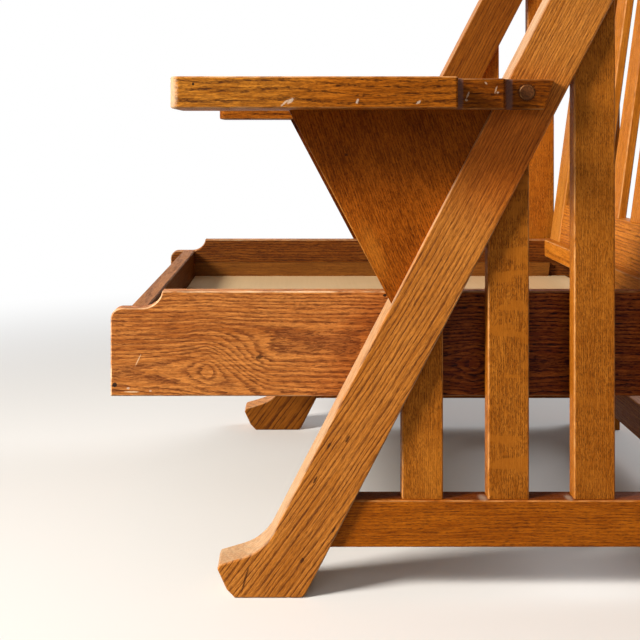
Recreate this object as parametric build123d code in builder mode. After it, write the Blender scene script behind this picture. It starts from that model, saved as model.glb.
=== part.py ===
from build123d import *
from math import atan, cos, radians, sin, tan
import os

# Mission lounge chair. It stands on Z = 0 and faces -Y, X = 0 is its middle plane,
# and the sitter's left is +X. The origin is under the middle of its depth.
# All sizes are in millimetres.

# Whole chair
overall_height = 1000
overall_depth = 760
frame_width = 677

# Fits and edges: hands meet the rounded arris, the lesser boards have a small chamfer
glue_gap = 0.1
arris = 2
bevel = 1.5
overrun = 12

# Diagonal legs
leg_thickness = 44
leg_width = 62
heel_setback = 217
head_setback = 25
heel_radius = 8
sole_length = 75
toe_reach = 94
toe_tip_height = 31
toe_top_setback = 2
toe_top_height = 36
toe_break_setback = 10
toe_break_height = 9
toe_radius = 2.5
instep_height = 50
instep_radius = 55

# Rear posts
post_width = 60

# Stretchers, low down between legs and posts
stretcher_height = 51
stretcher_floor_gap = 52
stretcher_thickness = 30
stretcher_shoulder = 8
stretcher_tenon_length = 20
stretcher_tenon_thickness = 12

# Upright slats in the side frames, as many as the gap leaves room for
slat_width = 45
slat_gap = 49
slat_thickness = 20
slat_shoulder = 6
slat_tenon_length = 15
slat_tenon_thickness = 10
slat_head_rise = 30

# Arms
arm_height = 560
arm_thickness = 32.5
arm_reach = 357
arm_overhang = 71.5
arm_corner_radius = 9
arm_step_lead = 65
arm_neck_overhang = 31.5
arm_neck_lead = 9
arm_tongue_thickness = 15
arm_tongue_reach = 46
arm_tongue_undercut = 11
arm_cove_radius = 12
arm_nose_radius = 3

# Triangular brackets under the arms
bracket_reach = 220
bracket_drop = 210
bracket_thickness = 11.5
bracket_inset = 5
bracket_housing_depth = 5

# Loose tenons between the legs' and posts' heads
head_tenon_thickness = 14
head_tenon_reach = 18
head_tenon_shares = (0.25, 0.8)

# Seat box
rail_height = 118
rail_top = 325
rail_thickness = 20
rail_rear_setback = 10
rail_step_drop = 19
rail_step_length = 35
rail_cove_run = 23
rail_nose_radius = 12
front_rail_setback = 20
cross_rail_thickness = 20
stub_tenon_length = 12
stub_tenon_shoulder = 5

# Seat deck and what carries it
deck_sink = 60
deck_thickness = 12
deck_side_gap = 0.5
deck_overlap = 35
ledger_size = 20
bearer_width = 45
bearer_setback = 330
strip_height = 22
strip_thickness = 8
strip_rear_lead = 2

# Back sill and back frame
sill_rear_setback = 133
sill_depth = 40
sill_height = 28
back_lean = 7.7
back_foot_inset = 14
back_thickness = 25
back_top_drop = 15
stile_width = 56
back_rail_thickness = 20
back_top_rail_height = 72
back_bottom_rail_height = 60
back_rail_shoulder = 8
back_tenon_length = 25
back_tenon_thickness = 10
back_slat_count = 5
back_slat_width = 45
back_slat_thickness = 12
back_slat_housing = 12

# Round plugs over the screws that hold the arms and the back
plug_radius = 8.1
plug_depth = 5
plug_rise = 1
plug_lead = 17
plug_drop = 14
back_plug_drops = (100, 220)

# Places that follow from the sizes
front_y = -overall_depth / 2
rear_y = overall_depth / 2
outer_x = frame_width / 2
side_x = outer_x - leg_thickness / 2
inner_x = outer_x - leg_thickness
heel_y = front_y + heel_setback
head_y = rear_y - head_setback
leg_slope = (head_y - heel_y) / overall_height
leg_lean = atan(leg_slope)
leg_plan_width = leg_width / cos(leg_lean)
post_front_y = rear_y - post_width
post_middle_y = rear_y - post_width / 2
post_head_low = (post_front_y - heel_y) / leg_slope
stretcher_top = stretcher_floor_gap + stretcher_height
slat_pitch = slat_width + slat_gap
slat_room = post_front_y - (heel_y + leg_slope * stretcher_top)
slat_count = int(slat_room / slat_pitch)
slat_fronts = [post_front_y - (slat_count - place) * slat_pitch for place in range(slat_count)]

arm_bottom = arm_height - arm_thickness
arm_outer_x = outer_x + arm_overhang
neck_x = outer_x + arm_neck_overhang
tongue_x = outer_x + arm_tongue_thickness

bracket_x = outer_x - bracket_inset - bracket_thickness / 2
bracket_foot = arm_bottom - bracket_drop
bracket_top = arm_bottom + bracket_housing_depth
bracket_front_y = heel_y + leg_slope * arm_bottom - leg_plan_width - bracket_reach
bracket_edge_run = bracket_housing_depth / cos(leg_lean)

rail_bottom = rail_top - rail_height
rail_inner_x = inner_x - rail_thickness
rail_middle_x = inner_x - rail_thickness / 2
step_top = rail_top - rail_step_drop
front_rail_y = front_y + front_rail_setback
seat_front_y = front_rail_y + cross_rail_thickness
sill_front_y = rear_y - sill_rear_setback
deck_rear_y = sill_front_y + deck_overlap
deck_top = rail_top - deck_sink
deck_bottom = deck_top - deck_thickness
rear_rail_y = deck_rear_y - cross_rail_thickness
ledger_bottom = deck_bottom - ledger_size
ledger_inner_x = rail_inner_x - ledger_size

back_slope = tan(radians(back_lean))
back_foot_y = sill_front_y + back_foot_inset
back_top = overall_height - back_top_drop
back_opening = inner_x - stile_width
top_rail_bottom = back_top - back_top_rail_height
bottom_rail_top = rail_top + back_bottom_rail_height

os.makedirs("parts", exist_ok=True)


def leg_rear_y(z):
    """Rear edge of the diagonal legs at a height."""
    return heel_y + leg_slope * z


def leg_front_y(z):
    """Front edge of the diagonal legs at a height."""
    return leg_rear_y(z) - leg_plan_width


def leg_rear_z(y):
    """Height at which the legs' rear edge passes a place along the depth."""
    return (y - heel_y) / leg_slope


def back_front_y(z):
    """Front face of the leaning back at a height."""
    return back_foot_y + back_slope * (z - rail_top)


def plank(outline, middle_x, thickness, radii=0, mode=Mode.ADD):
    """A board cut to a side-view outline, its thickness along X."""
    with BuildSketch(Plane.YZ.offset(middle_x)) as face:
        with BuildLine():
            if radii:
                FilletPolyline(*outline, radius=radii, close=True)
            else:
                Polyline(*outline, close=True)
        make_face()
    extrude(face.sketch, amount=thickness / 2, both=True, mode=mode)


def cross_piece(half_length, front, back, bottom, top):
    """A square-edged board lying across the chair."""
    plank([(front, bottom), (back, bottom), (back, top), (front, top)], 0, 2 * half_length)


def leaning_outline(bottom, top, thickness):
    """Side view of a board in the back, centred in the back's thickness."""
    inset = (back_thickness - thickness) / 2 / cos(radians(back_lean))
    depth = thickness / cos(radians(back_lean))
    return [
        (back_front_y(bottom) + inset, bottom),
        (back_front_y(bottom) + inset + depth, bottom),
        (back_front_y(top) + inset + depth, top),
        (back_front_y(top) + inset, top),
    ]


def plug(ease=0, mode=Mode.ADD):
    """A round wooden plug, its face at the place and its body along +Z there."""
    from_face = (Align.CENTER, Align.CENTER, Align.MIN)
    Cylinder(plug_radius + ease, plug_depth, align=from_face, mode=mode)


def export_piece(part, name):
    """Label a finished piece and write it."""
    part.label = name
    export_step(part, f"parts/{name}.step")


def export_pair(builder, name):
    """Write a piece of the left side and its mirror image on the right."""
    export_piece(builder.part, f"left_{name}")
    with BuildPart() as opposite:
        mirror(builder.part, about=Plane.YZ)
    export_piece(opposite.part, f"right_{name}")


# Joints shared by two pieces. Each is drawn once, and the hollow is the same shape eased.
def stretcher_front_tenon(ease=0):
    """Tenon of a side stretcher in the leg's rear edge."""
    low = stretcher_floor_gap + stretcher_shoulder - ease
    high = stretcher_top - stretcher_shoulder + ease
    reach = stretcher_tenon_length + ease
    return [
        (leg_rear_y(low) - reach, low),
        (leg_rear_y(low) + overrun, low),
        (leg_rear_y(high) + overrun, high),
        (leg_rear_y(high) - reach, high),
    ]


def stretcher_rear_tenon(ease=0):
    """Tenon of a side stretcher in the post's front edge."""
    low = stretcher_floor_gap + stretcher_shoulder - ease
    high = stretcher_top - stretcher_shoulder + ease
    tip = post_front_y + stretcher_tenon_length + ease
    root = post_front_y - overrun
    return [(root, low), (tip, low), (tip, high), (root, high)]


def slat_foot_tenon(front, ease=0):
    """Tenon of a side slat in the stretcher's top."""
    near = front + slat_shoulder - ease
    far = front + slat_width - slat_shoulder + ease
    tip = stretcher_top - slat_tenon_length - ease
    root = stretcher_top + overrun
    return [(near, tip), (far, tip), (far, root), (near, root)]


def slat_head_tenon(front, ease=0):
    """Tenon of a side slat in the leg's rear edge, both ends cut to the leg's slope."""
    near = front + slat_shoulder - ease
    far = front + slat_width - slat_shoulder + ease
    rise = slat_head_rise + ease
    return [
        (near, leg_rear_z(near) - overrun),
        (far, leg_rear_z(far) - overrun),
        (far, leg_rear_z(far) + rise),
        (near, leg_rear_z(near) + rise),
    ]


def back_rail_tenon(bottom, top, half_length, ease=0, mode=Mode.ADD):
    """The two end tenons of a back rail, as one bar through its middle."""
    outline = leaning_outline(
        bottom + back_rail_shoulder - ease,
        top - back_rail_shoulder + ease,
        back_tenon_thickness + 2 * ease,
    )
    plank(outline, 0, 2 * (half_length + ease), mode=mode)


def head_tenon_outline(ease=0):
    """Loose tenon across the slope where the leg lies on the post's head."""
    low, high = (
        post_head_low + share * (overall_height - post_head_low) for share in head_tenon_shares
    )
    across = (head_tenon_reach + ease) * cos(leg_lean)
    down = (head_tenon_reach + ease) * sin(leg_lean)
    return [
        (leg_rear_y(low - ease) - across, low - ease + down),
        (leg_rear_y(low - ease) + across, low - ease - down),
        (leg_rear_y(high + ease) + across, high + ease - down),
        (leg_rear_y(high + ease) - across, high + ease + down),
    ]


def stub_tenon(front, back, bottom, top, ease=0, mode=Mode.ADD):
    """Both end tenons of a board between the side rails, as one bar through its middle."""
    inset = stub_tenon_shoulder - ease
    outline = [
        (front + inset, bottom + inset),
        (back - inset, bottom + inset),
        (back - inset, top - inset),
        (front + inset, top - inset),
    ]
    plank(outline, 0, 2 * (rail_inner_x + stub_tenon_length + ease), mode=mode)


def bracket_outline():
    """Side view of the bracket, let into the arm's underside and the leg's front edge."""
    return [
        (leg_front_y(bracket_foot), bracket_foot),
        (leg_front_y(bracket_foot) + bracket_edge_run, bracket_foot),
        (leg_front_y(bracket_top) + bracket_edge_run, bracket_top),
        (bracket_front_y, bracket_top),
        (bracket_front_y, arm_bottom),
    ]


def bracket_leg_housing():
    """Groove for the bracket in the leg's front edge."""
    low = bracket_foot - glue_gap
    high = bracket_top + glue_gap
    run = bracket_edge_run + glue_gap / cos(leg_lean)
    return [
        (leg_front_y(low) - overrun, low),
        (leg_front_y(low) + run, low),
        (leg_front_y(high) + run, high),
        (leg_front_y(high) - overrun, high),
    ]


def bracket_arm_housing():
    """Groove for the bracket in the arm's underside."""
    high = bracket_top + glue_gap
    return [
        (bracket_front_y - glue_gap, arm_bottom - overrun),
        (leg_front_y(arm_bottom) + overrun, arm_bottom - overrun),
        (leg_front_y(high) + overrun, high),
        (bracket_front_y - glue_gap, high),
    ]


# The boards tenoned between the side rails: front, back, bottom and top of each
front_rail_bounds = (front_rail_y, seat_front_y, rail_bottom, step_top)
rear_rail_bounds = (rear_rail_y, deck_rear_y, rail_bottom, deck_bottom)
sill_bounds = (sill_front_y, sill_front_y + sill_depth, rail_top - sill_height, rail_top)

# Places of the plugs on the left side
arm_plug_place = Plane(
    origin=(tongue_x, leg_front_y(arm_height) + plug_lead, arm_height - plug_drop),
    z_dir=(-1, 0, 0),
)

back_plug_places = [
    Plane(
        origin=(
            outer_x,
            back_front_y(back_top - drop) + back_thickness / 2 / cos(radians(back_lean)),
            back_top - drop,
        ),
        z_dir=(-1, 0, 0),
    )
    for drop in back_plug_drops
]

# Diagonal leg: from the flared front foot past the arm to the top of the back
leg_outline = [
    (heel_y, 0),
    (head_y, overall_height),
    (head_y - leg_plan_width, overall_height),
    (leg_front_y(instep_height), instep_height),
    (heel_y - toe_reach + toe_top_setback, toe_top_height),
    (heel_y - toe_reach, toe_tip_height),
    (heel_y - toe_reach + toe_break_setback, toe_break_height),
    (heel_y - sole_length, 0),
]
leg_radii = [heel_radius, 0, toe_radius, instep_radius, toe_radius, toe_radius, toe_radius, 0]

with BuildPart() as leg:
    plank(leg_outline, side_x, leg_thickness, leg_radii)
    fillet(leg.faces().filter_by(Axis.X).edges(), arris)
    mortise = stretcher_tenon_thickness + 2 * glue_gap
    plank(stretcher_front_tenon(glue_gap), side_x, mortise, mode=Mode.SUBTRACT)
    for slat_front in slat_fronts:
        mortise = slat_tenon_thickness + 2 * glue_gap
        plank(slat_head_tenon(slat_front, glue_gap), side_x, mortise, mode=Mode.SUBTRACT)
    mortise = head_tenon_thickness + 2 * glue_gap
    plank(head_tenon_outline(glue_gap), side_x, mortise, mode=Mode.SUBTRACT)
    housing = bracket_thickness + 2 * glue_gap
    plank(bracket_leg_housing(), bracket_x, housing, mode=Mode.SUBTRACT)
export_pair(leg, "leg")

# Rear post, its head cut to the slope of the leg that lies on it
post_outline = [
    (post_front_y, 0),
    (rear_y, 0),
    (rear_y, overall_height),
    (head_y, overall_height),
    (post_front_y, post_head_low),
]

with BuildPart() as rear_post:
    plank(post_outline, side_x, leg_thickness)
    fillet(rear_post.edges().filter_by(Axis.Z), arris)
    mortise = stretcher_tenon_thickness + 2 * glue_gap
    plank(stretcher_rear_tenon(glue_gap), side_x, mortise, mode=Mode.SUBTRACT)
    with BuildSketch(Plane.YZ.offset(inner_x)) as rear_mortise:
        with Locations((post_middle_y, stretcher_floor_gap + stretcher_height / 2)):
            Rectangle(mortise, stretcher_height - 2 * stretcher_shoulder + 2 * glue_gap)
    extrude(rear_mortise.sketch, amount=stretcher_tenon_length + glue_gap, mode=Mode.SUBTRACT)
    mortise = head_tenon_thickness + 2 * glue_gap
    plank(head_tenon_outline(glue_gap), side_x, mortise, mode=Mode.SUBTRACT)
    with Locations(*back_plug_places):
        plug(glue_gap, Mode.SUBTRACT)
export_pair(rear_post, "rear_post")

# Loose tenons that join the leg's head to the post's
with BuildPart() as head_tenon:
    plank(head_tenon_outline(), side_x, head_tenon_thickness)
export_pair(head_tenon, "head_tenon")

# Side stretcher, its front shoulder cut to the leg's slope
side_stretcher_outline = [
    (leg_rear_y(stretcher_floor_gap), stretcher_floor_gap),
    (post_front_y, stretcher_floor_gap),
    (post_front_y, stretcher_top),
    (leg_rear_y(stretcher_top), stretcher_top),
]

with BuildPart() as side_stretcher:
    plank(side_stretcher_outline, side_x, stretcher_thickness)
    fillet(side_stretcher.edges().filter_by(Axis.Y), arris)
    plank(stretcher_front_tenon(), side_x, stretcher_tenon_thickness)
    plank(stretcher_rear_tenon(), side_x, stretcher_tenon_thickness)
    for slat_front in slat_fronts:
        mortise = slat_tenon_thickness + 2 * glue_gap
        plank(slat_foot_tenon(slat_front, glue_gap), side_x, mortise, mode=Mode.SUBTRACT)
export_pair(side_stretcher, "side_stretcher")

# Side slats, standing on the stretcher and cut to the leg's slope at the head
for number, slat_front in enumerate(slat_fronts, start=1):
    slat_rear = slat_front + slat_width
    slat_outline = [
        (slat_front, stretcher_top),
        (slat_rear, stretcher_top),
        (slat_rear, leg_rear_z(slat_rear)),
        (slat_front, leg_rear_z(slat_front)),
    ]
    with BuildPart() as side_slat:
        plank(slat_outline, side_x, slat_thickness)
        chamfer(side_slat.edges().filter_by(Axis.Z), bevel)
        plank(slat_foot_tenon(slat_front), side_x, slat_tenon_thickness)
        plank(slat_head_tenon(slat_front), side_x, slat_tenon_thickness)
    export_pair(side_slat, f"side_slat_{number}")

# Rear stretcher between the posts
with BuildPart() as rear_stretcher:
    cross_piece(
        inner_x,
        post_middle_y - stretcher_thickness / 2,
        post_middle_y + stretcher_thickness / 2,
        stretcher_floor_gap,
        stretcher_top,
    )
    fillet(rear_stretcher.edges().filter_by(Axis.X), arris)
    cross_piece(
        inner_x + stretcher_tenon_length,
        post_middle_y - stretcher_tenon_thickness / 2,
        post_middle_y + stretcher_tenon_thickness / 2,
        stretcher_floor_gap + stretcher_shoulder,
        stretcher_top - stretcher_shoulder,
    )
export_piece(rear_stretcher.part, "rear_stretcher")

with BuildPart() as arm_bracket:
    plank(bracket_outline(), bracket_x, bracket_thickness)
export_pair(arm_bracket, "arm_bracket")

# Arm: stepped inward with coves near the leg, housed round it and lapped on its outer face
arm_front_y = leg_front_y(arm_height) - arm_reach
arm_step_y = leg_front_y(arm_height) - arm_step_lead
neck_end_y = leg_front_y(arm_height) - arm_neck_lead
tongue_end_y = leg_front_y(arm_height) + arm_tongue_reach
arm_outline = [
    (inner_x, arm_front_y),
    (arm_outer_x, arm_front_y),
    (arm_outer_x, arm_step_y),
    (neck_x, arm_step_y),
    (neck_x, neck_end_y),
    (tongue_x, neck_end_y),
    (tongue_x, tongue_end_y + overrun),
    (inner_x, tongue_end_y + overrun),
]
arm_radii = [
    arm_corner_radius,
    arm_corner_radius,
    arm_nose_radius,
    arm_cove_radius,
    arm_nose_radius,
    arm_cove_radius,
    0,
    0,
]
leg_housing = [
    (leg_front_y(arm_bottom - overrun), arm_bottom - overrun),
    (tongue_end_y + 2 * overrun, arm_bottom - overrun),
    (tongue_end_y + 2 * overrun, arm_height + overrun),
    (leg_front_y(arm_height + overrun), arm_height + overrun),
]
undercut_slope = arm_tongue_undercut / arm_thickness
tongue_end_cut = [
    (tongue_end_y - undercut_slope * (arm_thickness + overrun), arm_bottom - overrun),
    (tongue_end_y + 2 * overrun, arm_bottom - overrun),
    (tongue_end_y + 2 * overrun, arm_height + overrun),
    (tongue_end_y + undercut_slope * overrun, arm_height + overrun),
]

with BuildPart() as arm:
    with BuildSketch(Plane.XY.offset(arm_bottom)) as arm_plan:
        with BuildLine():
            FilletPolyline(*arm_outline, radius=arm_radii, close=True)
        make_face()
    extrude(amount=arm_thickness)
    fillet(arm.faces().sort_by(Axis.Z)[-1].edges(), arris)
    chamfer(arm.faces().sort_by(Axis.Z)[0].edges(), bevel)
    housing_width = leg_thickness + overrun
    plank(leg_housing, outer_x - housing_width / 2, housing_width, mode=Mode.SUBTRACT)
    plank(tongue_end_cut, outer_x, 2 * arm_overhang, mode=Mode.SUBTRACT)
    housing = bracket_thickness + 2 * glue_gap
    plank(bracket_arm_housing(), bracket_x, housing, mode=Mode.SUBTRACT)
    with Locations(arm_plug_place):
        plug(glue_gap, Mode.SUBTRACT)
export_pair(arm, "arm")

# Seat side rail: a rounded nose and a low step at the front, then a cove up to the top
nose_start_z = step_top - rail_nose_radius
cove_start_y = front_y + rail_step_length
cove_end_y = cove_start_y + rail_cove_run
rail_rear_y = rear_y - rail_rear_setback

with BuildPart() as seat_side_rail:
    with BuildSketch(Plane.YZ.offset(rail_middle_x)) as rail_side:
        with BuildLine():
            Polyline(
                (cove_end_y, rail_top),
                (rail_rear_y, rail_top),
                (rail_rear_y, rail_bottom),
                (front_y, rail_bottom),
                (front_y, nose_start_z),
            )
            TangentArc(
                (front_y, nose_start_z), (front_y + rail_nose_radius, step_top), tangent=(0, 1)
            )
            Line((front_y + rail_nose_radius, step_top), (cove_start_y, step_top))
            TangentArc((cove_start_y, step_top), (cove_end_y, rail_top), tangent=(1, 0))
        make_face()
    extrude(rail_side.sketch, amount=rail_thickness / 2, both=True)
    chamfer(seat_side_rail.faces().filter_by(Axis.X).edges(), bevel)
    for bounds in (front_rail_bounds, rear_rail_bounds, sill_bounds):
        stub_tenon(*bounds, glue_gap, Mode.SUBTRACT)
export_pair(seat_side_rail, "seat_side_rail")

# Seat front rail, set back between the side rails and level with their low step
with BuildPart() as seat_front_rail:
    cross_piece(rail_inner_x, *front_rail_bounds)
    chamfer(seat_front_rail.edges().filter_by(Axis.X), bevel)
    stub_tenon(*front_rail_bounds)
export_piece(seat_front_rail.part, "seat_front_rail")

# Seat rear rail under the deck's rear edge
with BuildPart() as seat_rear_rail:
    cross_piece(rail_inner_x, *rear_rail_bounds)
    stub_tenon(*rear_rail_bounds)
export_piece(seat_rear_rail.part, "seat_rear_rail")

# Ledgers and the bearer that carry the deck
with BuildPart() as deck_ledger:
    ledger_outline = [
        (seat_front_y, ledger_bottom),
        (rear_rail_y, ledger_bottom),
        (rear_rail_y, deck_bottom),
        (seat_front_y, deck_bottom),
    ]
    plank(ledger_outline, rail_inner_x - ledger_size / 2, ledger_size)
export_pair(deck_ledger, "deck_ledger")

with BuildPart() as front_ledger:
    front_ledger_back = seat_front_y + ledger_size
    cross_piece(ledger_inner_x, seat_front_y, front_ledger_back, ledger_bottom, deck_bottom)
export_piece(front_ledger.part, "front_ledger")

with BuildPart() as deck_bearer:
    bearer_y = seat_front_y + bearer_setback
    cross_piece(ledger_inner_x, bearer_y, bearer_y + bearer_width, ledger_bottom, deck_bottom)
export_piece(deck_bearer.part, "deck_bearer")

# Seat deck, sunk between the rails and running on under the back sill
with BuildPart() as seat_deck:
    deck_front_y = seat_front_y + deck_side_gap
    cross_piece(rail_inner_x - deck_side_gap, deck_front_y, deck_rear_y, deck_bottom, deck_top)
    fillet(seat_deck.faces().sort_by(Axis.Z)[-1].edges(), arris)
export_piece(seat_deck.part, "seat_deck")

# Strips along the deck's side edges, cut at the rear to the back's lean
strip_top = deck_top + strip_height
with BuildPart() as deck_strip:
    strip_outline = [
        (seat_front_y, deck_top),
        (back_front_y(deck_top) - strip_rear_lead, deck_top),
        (back_front_y(strip_top) - strip_rear_lead, strip_top),
        (seat_front_y, strip_top),
    ]
    plank(strip_outline, rail_inner_x - strip_thickness / 2, strip_thickness)
    chamfer(deck_strip.edges().filter_by(Axis.Y).sort_by(Axis.Z)[-1], bevel)
export_pair(deck_strip, "deck_strip")

# Back sill, level with the rails' top, with the deck running on under it
with BuildPart() as back_sill:
    cross_piece(rail_inner_x, *sill_bounds)
    fillet(back_sill.edges().filter_by(Axis.X), arris)
    stub_tenon(*sill_bounds)
export_piece(back_sill.part, "back_sill")

# Back stiles, standing on the sill and rails and screwed to the posts
back_axis = Axis((0, 0, 0), (0, back_slope, 1))
back_slat_pitch = 2 * back_opening / back_slat_count
back_slat_places = [
    (place - (back_slat_count - 1) / 2) * back_slat_pitch for place in range(back_slat_count)
]
back_slat_outline = leaning_outline(
    bottom_rail_top - back_slat_housing, top_rail_bottom + back_slat_housing, back_slat_thickness
)
back_slat_housing_outline = leaning_outline(
    bottom_rail_top - back_slat_housing - glue_gap,
    top_rail_bottom + back_slat_housing + glue_gap,
    back_slat_thickness + 2 * glue_gap,
)
tenon_reach = back_opening + back_tenon_length

with BuildPart() as back_stile:
    stile_outline = leaning_outline(rail_top, back_top, back_thickness)
    plank(stile_outline, inner_x - stile_width / 2, stile_width)
    fillet(back_stile.edges().filter_by(back_axis), arris)
    back_rail_tenon(rail_top, bottom_rail_top, tenon_reach, glue_gap, Mode.SUBTRACT)
    back_rail_tenon(top_rail_bottom, back_top, tenon_reach, glue_gap, Mode.SUBTRACT)
export_pair(back_stile, "back_stile")


def back_rail(bottom, top):
    """A cross rail of the back with its tenons and the slats' housings."""
    plank(leaning_outline(bottom, top, back_rail_thickness), 0, 2 * back_opening)
    back_rail_tenon(bottom, top, tenon_reach)
    housing_width = back_slat_width + 2 * glue_gap
    for slat_x in back_slat_places:
        plank(back_slat_housing_outline, slat_x, housing_width, mode=Mode.SUBTRACT)


with BuildPart() as back_bottom_rail:
    back_rail(rail_top, bottom_rail_top)
export_piece(back_bottom_rail.part, "back_bottom_rail")

with BuildPart() as back_top_rail:
    back_rail(top_rail_bottom, back_top)
export_piece(back_top_rail.part, "back_top_rail")

for number, slat_x in enumerate(back_slat_places, start=1):
    with BuildPart() as back_slat:
        plank(back_slat_outline, slat_x, back_slat_width)
        chamfer(back_slat.edges().filter_by(back_axis), bevel)
    export_piece(back_slat.part, f"back_slat_{number}")


# Plugs: the arms' stand a little proud, the back's are flush
def proud_plug():
    """A plug standing a little proud of the wood, its rim bevelled."""
    from_face = (Align.CENTER, Align.CENTER, Align.MIN)
    plug()
    Cone(plug_radius, plug_radius - plug_rise, plug_rise, rotation=(180, 0, 0), align=from_face)


with BuildPart() as arm_plug:
    with Locations(arm_plug_place):
        proud_plug()
export_pair(arm_plug, "arm_plug")

with BuildPart() as back_plugs:
    with Locations(*back_plug_places):
        plug()
    mirror(back_plugs.part, about=Plane.YZ)
export_piece(back_plugs.part, "back_plugs")
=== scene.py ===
from math import atan2, cos, pi, radians, sin

import bmesh
import bpy
from mathutils import Matrix, Vector


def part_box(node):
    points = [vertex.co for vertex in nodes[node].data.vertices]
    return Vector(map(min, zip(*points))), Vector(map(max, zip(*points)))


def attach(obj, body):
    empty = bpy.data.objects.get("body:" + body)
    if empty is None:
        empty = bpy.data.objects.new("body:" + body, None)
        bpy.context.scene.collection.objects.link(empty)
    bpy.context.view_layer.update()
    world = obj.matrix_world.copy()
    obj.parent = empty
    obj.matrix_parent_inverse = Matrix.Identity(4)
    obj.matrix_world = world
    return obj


# Mission lounge chair in oak. Metres, in the frame of the CAD: the chair stands on Z = 0,
# faces -Y, and +X is the sitter's left, the side that the photograph shows.
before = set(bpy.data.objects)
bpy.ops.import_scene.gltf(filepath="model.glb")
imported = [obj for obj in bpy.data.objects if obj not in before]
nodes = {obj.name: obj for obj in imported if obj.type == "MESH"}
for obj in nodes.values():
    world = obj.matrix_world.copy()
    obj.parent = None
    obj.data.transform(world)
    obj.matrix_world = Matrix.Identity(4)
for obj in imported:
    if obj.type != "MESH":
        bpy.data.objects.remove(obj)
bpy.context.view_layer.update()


def leaning(angle):
    """The direction that leans back from upright by an angle."""
    return Vector((0, sin(angle), cos(angle)))


# Directions that the boards run in
ALONG_X = Vector((1, 0, 0))
ALONG_Y = Vector((0, 1, 0))
UPRIGHT = Vector((0, 0, 1))
LEG_RUN_PER_RISE = 0.518
BACK_LEAN = radians(7.7)
BRACKET_GRAIN_LEAN = radians(-18)
UP_THE_LEG = leaning(atan2(LEG_RUN_PER_RISE, 1))
UP_THE_BACK = leaning(BACK_LEAN)
UP_THE_BRACKET = leaning(BRACKET_GRAIN_LEAN)
THROUGH_THE_BACK = Vector((0, cos(BACK_LEAN), -sin(BACK_LEAN)))

# Oak tones, from the stain in the pores to the bright wood where the finish is rubbed through
PORE_STAIN = (0.070, 0.016, 0.003)
DARK_BAND = (0.200, 0.050, 0.008)
GOLDEN = (0.400, 0.112, 0.006)
HONEY = (0.640, 0.225, 0.022)
WORN_EDGE = (0.740, 0.400, 0.150)
WORN_GRAIN = (0.64, 0.46, 0.32)

# Painted shade: the faces turned to the seat, and the side rail behind the slats where the leg and
# the slats shade it, are darkened
RAIL_PAINTED_SHADE = (0.60, 0.42, 0.25)
RAIL_PAINTED_DEEP_SHADE = (0.088, 0.023, 0.004)
INNER_FACE_SHADE = (0.34, 0.29, 0.17)
INWARD_SHADE_RAMP = (0.5, 0.9)


# A Mix node holds a pair of inputs for each kind of value, and these are their places in it
MIX_SHARE = 0
MIX_NUMBERS = (2, 3)
MIX_COLOURS = (6, 7)
MIX_COLOUR_RESULT = 2


# Node helpers
def put(tree, kind, settings=None, **inputs):
    """A node with its settings and its inputs, each a plain value or another node's output."""
    node = tree.nodes.new(kind)
    for name, value in (settings or {}).items():
        setattr(node, name, value)
    for name, value in inputs.items():
        feed(tree, value, node.inputs[name.replace("_", " ")])
    return node


def feed(tree, value, socket):
    """Feed a socket from another node's output, or set it to a plain value."""
    if isinstance(value, bpy.types.NodeSocket):
        tree.links.new(value, socket)
    else:
        socket.default_value = value


def reckon(tree, operation, *values):
    """A Math node's result."""
    node = put(tree, "ShaderNodeMath", {"operation": operation})
    for value, socket in zip(values, node.inputs):
        feed(tree, value, socket)
    return node.outputs[0]


def product(tree, *values):
    """Several numbers multiplied together."""
    result = values[0]
    for value in values[1:]:
        result = reckon(tree, "MULTIPLY", result, value)
    return result


def remainder(tree, share):
    """What a share leaves of one."""
    return reckon(tree, "SUBTRACT", 1.0, share)


def reckon_vector(tree, operation, *values):
    """A Vector Math node's result."""
    node = put(tree, "ShaderNodeVectorMath", {"operation": operation})
    for value, socket in zip(values, node.inputs):
        feed(tree, value, socket)
    if operation in ("LENGTH", "DOT_PRODUCT"):
        return node.outputs["Value"]
    return node.outputs["Vector"]


def split(tree, vector):
    """The three parts of a vector."""
    return put(tree, "ShaderNodeSeparateXYZ", Vector=vector).outputs


def assembled(tree, x, y, z):
    """A vector from its three parts."""
    return put(tree, "ShaderNodeCombineXYZ", X=x, Y=y, Z=z).outputs[0]


def ramp_between(tree, value, low, high, start=0.0, end=1.0):
    """A value taken smoothly from start at low to end at high."""
    node = put(
        tree,
        "ShaderNodeMapRange",
        {"interpolation_type": "SMOOTHSTEP"},
        Value=value,
        From_Min=low,
        From_Max=high,
        To_Min=start,
        To_Max=end,
    )
    return node.outputs[0]


def noise(tree, place, number, per_metre, detail, roughness=0.5):
    """Noise that repeats about so many times a metre along the grain, the width and the depth."""
    node = put(
        tree,
        "ShaderNodeTexNoise",
        {"noise_dimensions": "4D"},
        Vector=reckon_vector(tree, "MULTIPLY", place, per_metre),
        W=number,
        Scale=1.0,
        Detail=detail,
        Roughness=roughness,
    )
    return node.outputs


def cloud(tree, place, number, per_metre, detail=2.0, roughness=0.5):
    """The noise as a number from none to one."""
    return noise(tree, place, number, per_metre, detail, roughness)[0]


def drift(tree, place, number, per_metre):
    """The noise as a vector that swings to both sides."""
    colour = noise(tree, place, number, per_metre, detail=1.0)["Color"]
    return reckon_vector(tree, "SUBTRACT", colour, (0.5, 0.5, 0.5))


def blend(tree, share, first, second, way="MIX"):
    """Two colours mixed by a share."""
    settings = {"data_type": "RGBA", "blend_type": way, "clamp_result": True}
    node = put(tree, "ShaderNodeMix", settings)
    feed(tree, share, node.inputs[MIX_SHARE])
    for value, place in zip((first, second), MIX_COLOURS):
        colour = value if isinstance(value, bpy.types.NodeSocket) else (*value, 1.0)
        feed(tree, colour, node.inputs[place])
    return node.outputs[MIX_COLOUR_RESULT]


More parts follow.
